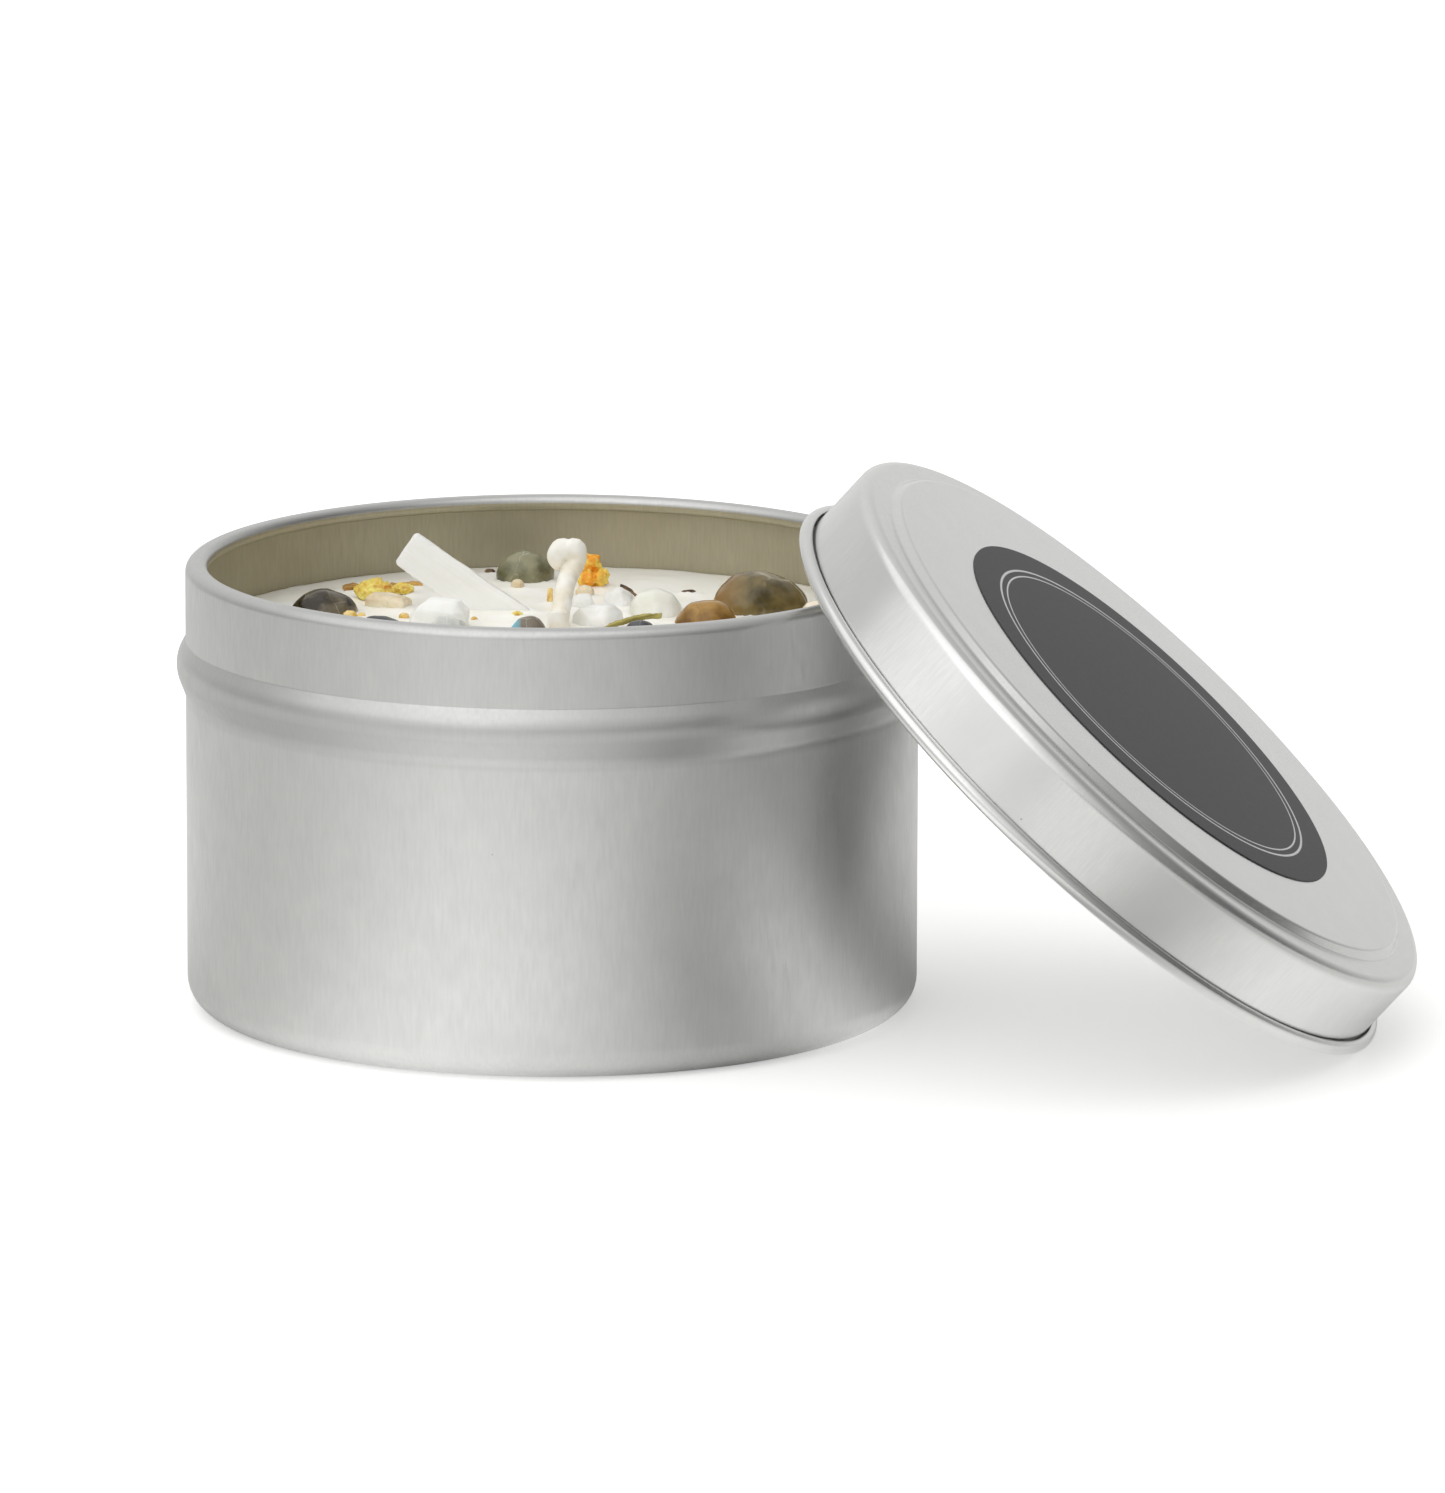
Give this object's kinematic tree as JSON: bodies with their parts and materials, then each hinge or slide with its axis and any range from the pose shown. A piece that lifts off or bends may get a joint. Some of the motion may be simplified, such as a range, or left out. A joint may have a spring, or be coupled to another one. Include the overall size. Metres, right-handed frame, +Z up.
{
  "type": "candle tin",
  "caption": "Round slip-lid tin filled with wax, with an upright wick and small stones, petals and twigs set in the top; its lid leans against the rim.",
  "frame": {"origin": "centre of the ring on which the tin's base stands, on the table", "axes": "+Z up along the tin's axis; +X points to the side where the lid leans, its panel facing up and towards +X; +Y to the back"},
  "size_m": [0.1354, 0.087, 0.0606],
  "materials": {
    "tinplate": "satin tinplate with a fine rolled grain and soft reflections",
    "label": "matt charcoal label stock with a thin pale double ring",
    "wax": "creamy soy wax, satin, slightly translucent",
    "wick": "waxed braided cotton",
    "tab_plate": "plain tinplate",
    "sticker": "white foam adhesive pad",
    "selenite": "silky fibrous white, satin",
    "grey_quartz": "translucent pale grey",
    "dark_stone": "tumbled, polished, brown-black with pale patches",
    "rose_quartz": "translucent pale pink-beige, tumbled",
    "bark": "dry orange-brown bark, fibrous",
    "petal": "dried yellow petal, papery",
    "gold_resin": "gold-coloured resin crumbs, glossy",
    "seed": "dry dark brown seed and stem",
    "green_stone": "tumbled, polished, grey-green with a pale sheen",
    "orange_calcite": "crumbly translucent orange, broken faces",
    "white_quartz": "broken milky quartz, satin",
    "moonstone": "milky, translucent, tumbled",
    "herb": "dried olive-green stem",
    "blueblack_stone": "tumbled, polished, blue-black",
    "tan_stone": "tumbled, polished, tan with brown mottling",
    "olive_stone": "tumbled, polished, olive-brown with pale fractures",
    "peach_stone": "tumbled, pale peach, satin",
    "labradorite": "tumbled, grey-brown with a blue flash"
  },
  "bodies": {
    "tin": {"tin_body": "tinplate", "wax_fill": "wax", "wick": "wick", "wick_tab": "tab_plate", "wick_sticker": "sticker", "selenite_blade": "selenite", "quartz_chunk": "selenite", "grey_chip": "grey_quartz", "dark_pebble": "dark_stone", "dark_sliver": "blueblack_stone", "rose_flake": "rose_quartz", "bark_strip": "bark", "petal_large": "petal", "petal_small": "petal", "gold_crumbs": "gold_resin", "brown_seed": "seed", "green_pebble": "green_stone", "pink_bead": "rose_quartz", "amber_sliver": "gold_resin", "orange_cluster": "orange_calcite", "rose_chip": "rose_quartz", "brown_splinter": "seed", "bent_twig": "seed", "dark_seed": "seed", "white_chip": "white_quartz", "white_chunk": "white_quartz", "lavender_chip": "white_quartz", "moonstone": "moonstone", "herb_stem": "herb", "blueblack_chip": "blueblack_stone", "tan_pebble": "tan_stone", "olive_pebble": "olive_stone", "peach_pebble": "peach_stone", "labradorite": "labradorite", "leaf_fleck": "petal", "front_green_pebble": "green_stone", "front_tan_pebble": "tan_stone", "front_quartz": "white_quartz", "front_rose_chip": "rose_quartz", "front_petal": "petal", "front_dark_pebble": "dark_stone"},
    "lid": {"lid_shell": "tinplate", "lid_label": "label"}
  },
  "joints": [
    {"name": "lid_lift", "type": "slide", "parent": "tin", "child": "lid", "axis": [0.6665, 0, 0.7455], "range_m": [0, 0.07]}
  ]
}
